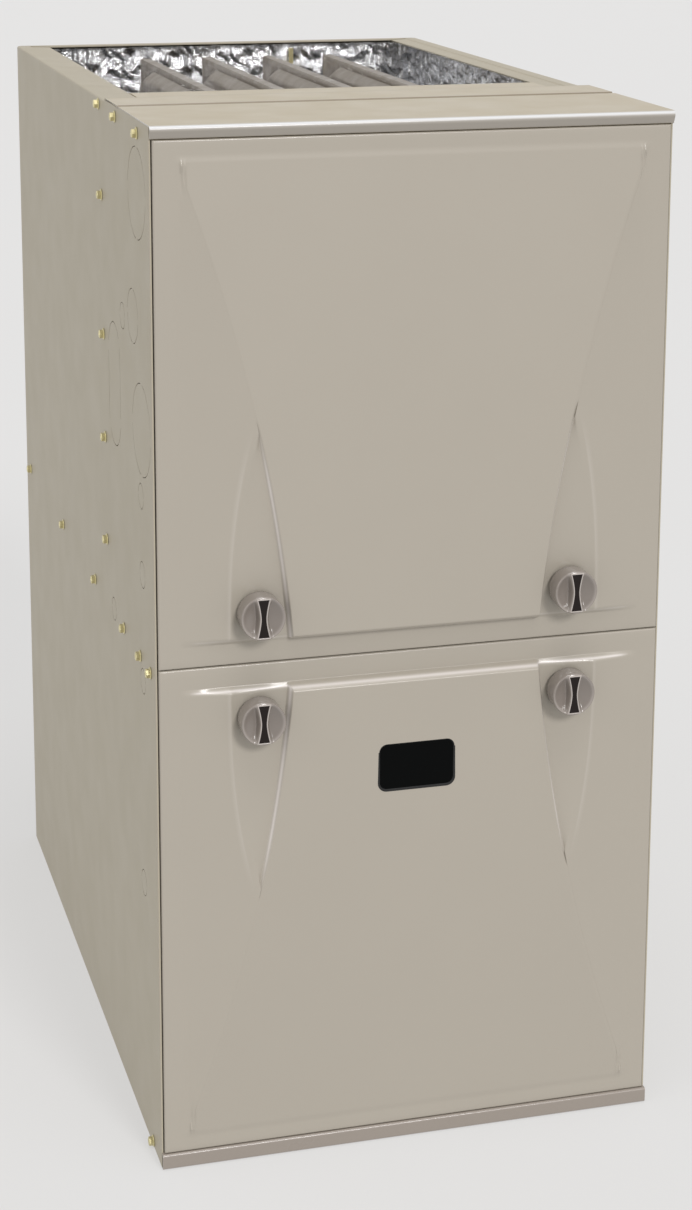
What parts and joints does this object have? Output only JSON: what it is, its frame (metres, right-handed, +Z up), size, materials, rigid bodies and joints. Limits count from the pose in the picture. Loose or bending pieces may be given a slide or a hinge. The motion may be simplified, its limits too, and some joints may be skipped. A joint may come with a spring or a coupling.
{
  "type": "forced air gas furnace",
  "caption": "Upflow forced air gas furnace: steel cabinet, open top outlet, lift-off embossed doors on quarter-turn latch knobs, with burners, heat exchanger, inducer and blower inside.",
  "frame": {"origin": "middle of the footprint, on the floor", "axes": "+Z up, the doors face -Y, +X is to the right as one faces the doors"},
  "size_m": [0.438, 0.7493, 0.889],
  "materials": {
    "greige_paint": "satin baked enamel, warm grey beige",
    "tan_paint": "satin baked enamel, light tan",
    "galvanised": "galvanised sheet",
    "aluminised_steel": "aluminised sheet, pressed",
    "coil_metal": "finned coil",
    "foil_liner": "crinkled foil facing on fibre insulation",
    "knob_plastic": "glossy moulded plastic, grey beige",
    "dark_glass": "dark gloss",
    "black_plastic": "moulded",
    "black_rubber": "matte",
    "black_paint": "black enamel",
    "cast_aluminium": "die cast",
    "board_green": "solder mask",
    "ceramic": "unglazed ceramic",
    "red_plastic": "moulded",
    "white_plastic": "moulded",
    "clear_tube": "soft translucent hose"
  },
  "bodies": {
    "cabinet": {"casing_wrapper": "greige_paint", "top_cap": "tan_paint", "outlet_front_flange": "tan_paint", "base_rail": "greige_paint", "base_panel": "galvanised", "blower_shelf": "galvanised", "cell_panel": "galvanised", "liner_left": "foil_liner", "liner_right": "foil_liner", "liner_back": "foil_liner", "keeper_plate_left": "galvanised", "keeper_plate_right": "galvanised", "heat_cell_1": "aluminised_steel", "heat_cell_2": "aluminised_steel", "heat_cell_3": "aluminised_steel", "heat_cell_4": "aluminised_steel", "burner_1": "aluminised_steel", "burner_2": "aluminised_steel", "burner_3": "aluminised_steel", "burner_4": "aluminised_steel", "condensing_coil": "coil_metal", "transition_box": "aluminised_steel", "collector_box": "black_plastic", "burner_box": "aluminised_steel", "gas_manifold": "black_paint", "gas_valve": "cast_aluminium", "igniter": "ceramic", "flame_sensor": "ceramic", "rollout_switch": "black_plastic", "inducer_housing": "black_plastic", "inducer_motor": "black_paint", "vent_elbow": "black_rubber", "pressure_switch": "white_plastic", "pressure_tube": "clear_tube", "condensate_trap": "white_plastic", "drain_tube": "black_rubber", "blower_housing": "galvanised", "blower_motor": "black_paint", "motor_bracket": "galvanised", "control_box": "galvanised", "control_board": "board_green", "transformer": "black_paint", "door_switch": "black_plastic"},
    "upper_door": {"upper_door": "greige_paint"},
    "lower_door": {"lower_door": "greige_paint", "sight_gasket": "black_rubber", "sight_glass": "dark_glass"},
    "knob_upper_left": {"latch_knob_upper_left": "knob_plastic", "latch_pawl_upper_left": "galvanised"},
    "knob_upper_right": {"latch_knob_upper_right": "knob_plastic", "latch_pawl_upper_right": "galvanised"},
    "knob_lower_left": {"latch_knob_lower_left": "knob_plastic", "latch_pawl_lower_left": "galvanised"},
    "knob_lower_right": {"latch_knob_lower_right": "knob_plastic", "latch_pawl_lower_right": "galvanised"},
    "gas_valve_lever": {"gas_valve_lever": "red_plastic"},
    "rollout_reset": {"rollout_reset": "red_plastic"},
    "inducer_wheel": {"inducer_wheel": "aluminised_steel"},
    "blower_wheel": {"blower_wheel": "galvanised"},
    "door_switch_plunger": {"door_switch_plunger": "white_plastic"}
  },
  "joints": [
    {"name": "upper_door_lift_off", "type": "slide", "parent": "cabinet", "child": "upper_door", "axis": [0, -1, 0], "range_m": [0, 0.25]},
    {"name": "lower_door_lift_off", "type": "slide", "parent": "cabinet", "child": "lower_door", "axis": [0, -1, 0], "range_m": [0, 0.25]},
    {"name": "knob_upper_left_turn", "type": "hinge", "parent": "upper_door", "child": "knob_upper_left", "pos_m": [-0.1346, -0.35335, 0.4893], "axis": [0, 1, 0], "range_deg": [0, 90]},
    {"name": "knob_upper_right_turn", "type": "hinge", "parent": "upper_door", "child": "knob_upper_right", "pos_m": [0.1346, -0.35335, 0.4893], "axis": [0, 1, 0], "range_deg": [0, 90]},
    {"name": "knob_lower_left_turn", "type": "hinge", "parent": "lower_door", "child": "knob_lower_left", "pos_m": [-0.1346, -0.35335, 0.3993], "axis": [0, 1, 0], "range_deg": [0, 90]},
    {"name": "knob_lower_right_turn", "type": "hinge", "parent": "lower_door", "child": "knob_lower_right", "pos_m": [0.1346, -0.35335, 0.3993], "axis": [0, 1, 0], "range_deg": [0, 90]},
    {"name": "gas_valve_lever_turn", "type": "hinge", "parent": "cabinet", "child": "gas_valve_lever", "pos_m": [-0.1638, -0.2867, 0.849], "axis": [0, 1, 0], "range_deg": [0, 90]},
    {"name": "rollout_reset_press", "type": "slide", "parent": "cabinet", "child": "rollout_reset", "axis": [-1, 0, 0], "range_m": [0, 0.002], "stiffness_N_per_m": 200},
    {"name": "inducer_wheel_spin", "type": "hinge", "parent": "cabinet", "child": "inducer_wheel", "pos_m": [0.026, -0.2, 0.506], "axis": [0, 1, 0], "continuous": true},
    {"name": "blower_wheel_spin", "type": "hinge", "parent": "cabinet", "child": "blower_wheel", "pos_m": [0, 0.08665, 0.197], "axis": [1, 0, 0], "continuous": true},
    {"name": "door_switch_plunger_slide", "type": "slide", "parent": "cabinet", "child": "door_switch_plunger", "axis": [0, -1, 0], "range_m": [0, 0.005]}
  ],
  "couplings": [
    {"joint": "door_switch_plunger_slide", "follows": "lower_door_lift_off", "ratio": 0.02}
  ]
}
